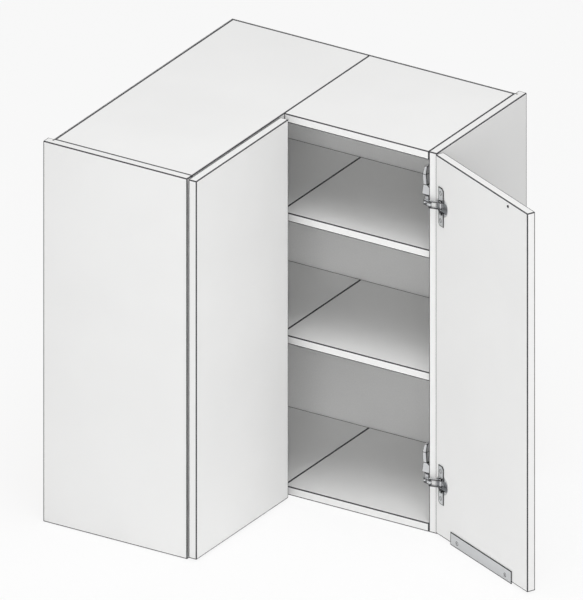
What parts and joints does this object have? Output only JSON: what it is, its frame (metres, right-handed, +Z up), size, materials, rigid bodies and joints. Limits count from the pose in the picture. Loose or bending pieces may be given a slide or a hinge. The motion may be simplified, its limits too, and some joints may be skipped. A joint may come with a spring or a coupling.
{
  "type": "corner wall cabinet",
  "caption": "L-shaped corner wall cabinet with hinged doors on both inner fronts, removable shelves, grooved-in backs and hanging hooks.",
  "frame": {"origin": "the room corner where both wall planes meet, at the height of the cabinet's underside", "axes": "+X along the right leg's wall, -Y along the left leg's wall, +Z up"},
  "size_m": [0.8674, 0.605, 0.72],
  "materials": {
    "laminated_board": "white melamine-faced particle board with matching edge bands",
    "back_board": "thin hardboard, lacquered white",
    "hanger_plastic": "moulded nylon, satin",
    "beech": "plain turned beech",
    "plated_steel": "nickel-plated pressed steel",
    "strip_aluminium": "natural anodised, satin",
    "bumper_plastic": "dark grey soft polymer"
  },
  "bodies": {
    "root": {"left_end_panel": "laminated_board", "right_end_panel": "laminated_board", "bottom_board_long": "laminated_board", "bottom_board_short": "laminated_board", "lower_shelf_long": "laminated_board", "lower_shelf_short": "laminated_board", "upper_shelf_long": "laminated_board", "upper_shelf_short": "laminated_board", "top_board_long": "laminated_board", "top_board_short": "laminated_board", "left_back_panel": "back_board", "right_back_panel": "back_board", "left_hanger": "hanger_plastic", "right_hanger": "hanger_plastic", "bottom_board_left_dowel": "beech", "bottom_board_right_dowel": "beech", "top_board_left_dowel": "beech", "top_board_right_dowel": "beech", "bottom_board_seam_dowel": "beech", "lower_shelf_seam_dowel": "beech", "upper_shelf_seam_dowel": "beech", "top_board_seam_dowel": "beech", "left_lower_shelf_pin_rear": "plated_steel", "left_lower_shelf_pin_front": "plated_steel", "left_upper_shelf_pin_rear": "plated_steel", "left_upper_shelf_pin_front": "plated_steel", "right_lower_shelf_pin_rear": "plated_steel", "right_lower_shelf_pin_front": "plated_steel", "right_upper_shelf_pin_rear": "plated_steel", "right_upper_shelf_pin_front": "plated_steel", "left_upper_mounting_plate": "plated_steel", "left_upper_arm": "plated_steel", "left_lower_mounting_plate": "plated_steel", "left_lower_arm": "plated_steel", "right_upper_mounting_plate": "plated_steel", "right_upper_arm": "plated_steel", "right_lower_mounting_plate": "plated_steel", "right_lower_arm": "plated_steel"},
    "right_door": {"right_door": "laminated_board", "right_grip_strip": "strip_aluminium", "right_grip_screw_1": "plated_steel", "right_grip_screw_2": "plated_steel", "right_bumper": "bumper_plastic", "right_upper_cup": "plated_steel", "right_lower_cup": "plated_steel"},
    "right_short_links": {"right_upper_short_link": "plated_steel", "right_lower_short_link": "plated_steel"},
    "right_long_links": {"right_upper_long_link": "plated_steel", "right_lower_long_link": "plated_steel"},
    "left_door": {"left_door": "laminated_board", "left_grip_strip": "strip_aluminium", "left_grip_screw_1": "plated_steel", "left_grip_screw_2": "plated_steel", "left_bumper": "bumper_plastic", "left_upper_cup": "plated_steel", "left_lower_cup": "plated_steel"},
    "left_short_links": {"left_upper_short_link": "plated_steel", "left_lower_short_link": "plated_steel"},
    "left_long_links": {"left_upper_long_link": "plated_steel", "left_lower_long_link": "plated_steel"}
  },
  "joints": [
    {"name": "right_door_hinge", "type": "hinge", "parent": "root", "child": "right_door", "pos_m": [0.5993, -0.2935, 0], "axis": [0, 0, 1], "range_deg": [-155, 0]},
    {"name": "right_short_link_turn", "type": "hinge", "parent": "root", "child": "right_short_links", "pos_m": [0.581, -0.2985, 0], "axis": [0, 0, 1], "range_deg": [-156, 1]},
    {"name": "right_long_link_turn", "type": "hinge", "parent": "right_short_links", "child": "right_long_links", "pos_m": [0.59342, -0.30263, 0], "axis": [0, 0, 1], "range_deg": [-1, 156]},
    {"name": "left_door_hinge", "type": "hinge", "parent": "root", "child": "left_door", "pos_m": [0.2935, -0.6043, 0], "axis": [0, 0, -1], "range_deg": [0, 155]},
    {"name": "left_short_link_turn", "type": "hinge", "parent": "root", "child": "left_short_links", "pos_m": [0.2985, -0.586, 0], "axis": [0, 0, -1], "range_deg": [-1, 156]},
    {"name": "left_long_link_turn", "type": "hinge", "parent": "left_short_links", "child": "left_long_links", "pos_m": [0.3, -0.573, 0], "axis": [0, 0, -1], "range_deg": [-156, 1]}
  ],
  "couplings": [
    {"joint": "right_short_link_turn", "follows": "right_door_hinge", "ratio": 1},
    {"joint": "right_long_link_turn", "follows": "right_door_hinge", "ratio": -1},
    {"joint": "left_short_link_turn", "follows": "left_door_hinge", "ratio": 1},
    {"joint": "left_long_link_turn", "follows": "left_door_hinge", "ratio": -1}
  ]
}
